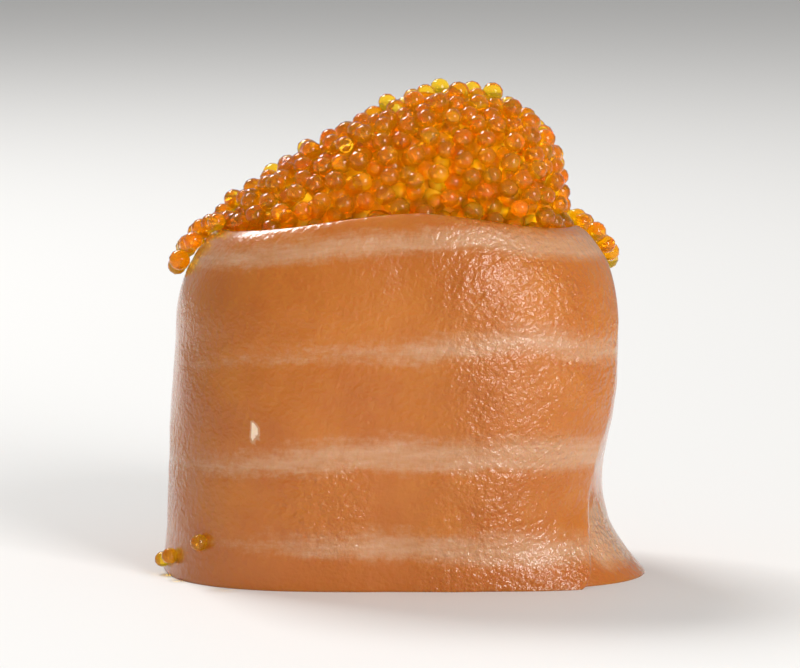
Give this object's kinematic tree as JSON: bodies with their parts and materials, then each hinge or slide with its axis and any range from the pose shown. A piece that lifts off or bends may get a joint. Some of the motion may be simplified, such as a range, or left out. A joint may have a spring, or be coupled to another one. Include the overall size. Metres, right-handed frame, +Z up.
{
  "type": "gunkan sushi",
  "caption": "Oval gunkan sushi: a block of pressed rice wrapped in one lapped slice of raw salmon, with a tall leaning heap of round orange fish roe on top.",
  "frame": {"origin": "middle of the footprint's bounding box, on the surface that the sushi stands on", "axes": "+Z up; the broad front face looks towards -Y; the long side runs along X, with the heap's peak and the slice's loose end on the +X side"},
  "size_m": [0.0504, 0.0366, 0.0505],
  "materials": {
    "salmon": "raw salmon, wet and slightly translucent, with pale bands of fat",
    "rice": "boiled short-grain rice, pressed, moist",
    "roe": "wet translucent orange fish eggs"
  },
  "bodies": {
    "root": {"salmon_slice": "salmon", "rice_block": "rice", "roe_heap": "roe"}
  },
  "joints": []
}
